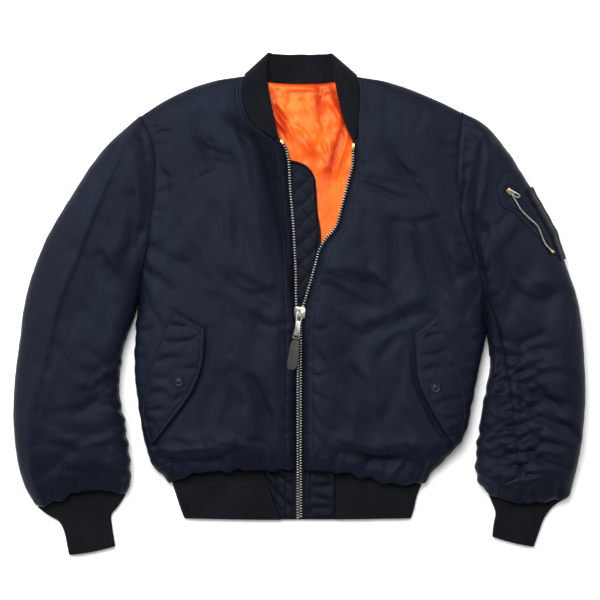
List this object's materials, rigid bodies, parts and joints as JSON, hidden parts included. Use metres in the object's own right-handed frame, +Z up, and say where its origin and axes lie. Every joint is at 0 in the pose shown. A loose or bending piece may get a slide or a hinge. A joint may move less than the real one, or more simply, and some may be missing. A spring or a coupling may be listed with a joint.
{
  "type": "bomber jacket",
  "caption": "Padded nylon bomber jacket laid flat, front half unzipped, with rib collar, cuffs and hem, flap pockets and a zipped sleeve pocket.",
  "frame": {"origin": "middle of the jacket's outline in plan, on the surface that it lies on", "axes": "+Z up from the surface towards the jacket's front, +Y from hem to collar, +X towards the wearer's left sleeve"},
  "size_m": [0.834, 0.7356, 0.0547],
  "materials": {
    "nylon": "satin",
    "rib_knit": "matte",
    "lining": "satin",
    "zip_tape": "matte",
    "zip_metal": "satin",
    "snap_metal": "satin",
    "brass": "satin",
    "tab": "satin"
  },
  "bodies": {
    "jacket": {"back": "nylon", "front_right": "nylon", "front_left": "nylon", "sleeve_right_upper": "nylon", "sleeve_right_under": "nylon", "sleeve_left_upper": "nylon", "sleeve_left_under": "nylon", "wind_flap": "nylon", "placket_right": "nylon", "placket_left": "nylon", "pocket_flap_right": "nylon", "pocket_flap_left": "nylon", "sleeve_pocket": "nylon", "pen_strip": "nylon", "lining_back": "lining", "collar": "rib_knit", "hem_rib": "rib_knit", "cuff_right": "rib_knit", "cuff_left": "rib_knit", "zip_tape_right": "zip_tape", "zip_tape_left": "zip_tape", "zip_teeth_right": "zip_metal", "zip_teeth_left": "zip_metal", "zip_slider": "zip_metal", "sleeve_zip": "zip_metal", "sleeve_zip_slider": "zip_metal", "zip_stop_right": "brass", "zip_stop_left": "brass", "snap_right": "snap_metal", "snap_left": "snap_metal"},
    "zip_pull": {"zip_pull": "zip_metal"},
    "pull_tab": {"pull_tab": "tab"},
    "sleeve_zip_pull": {"sleeve_zip_pull": "zip_metal"}
  },
  "joints": [
    {"name": "zip_pull_swing", "type": "hinge", "parent": "jacket", "child": "zip_pull", "pos_m": [0.0012, -0.0125, 0.03175], "axis": [-0.9885, 0.1513, 0], "range_deg": [0, 120]},
    {"name": "pull_tab_swing", "type": "hinge", "parent": "zip_pull", "child": "pull_tab", "pos_m": [-0.00455, -0.05006, 0.03175], "axis": [-0.9885, 0.1513, 0], "range_deg": [0, 90]},
    {"name": "sleeve_zip_pull_swing", "type": "hinge", "parent": "jacket", "child": "sleeve_zip_pull", "pos_m": [0.304, 0.1625, 0.05235], "axis": [-0.4848, -0.8746, 0], "range_deg": [0, 120]}
  ]
}
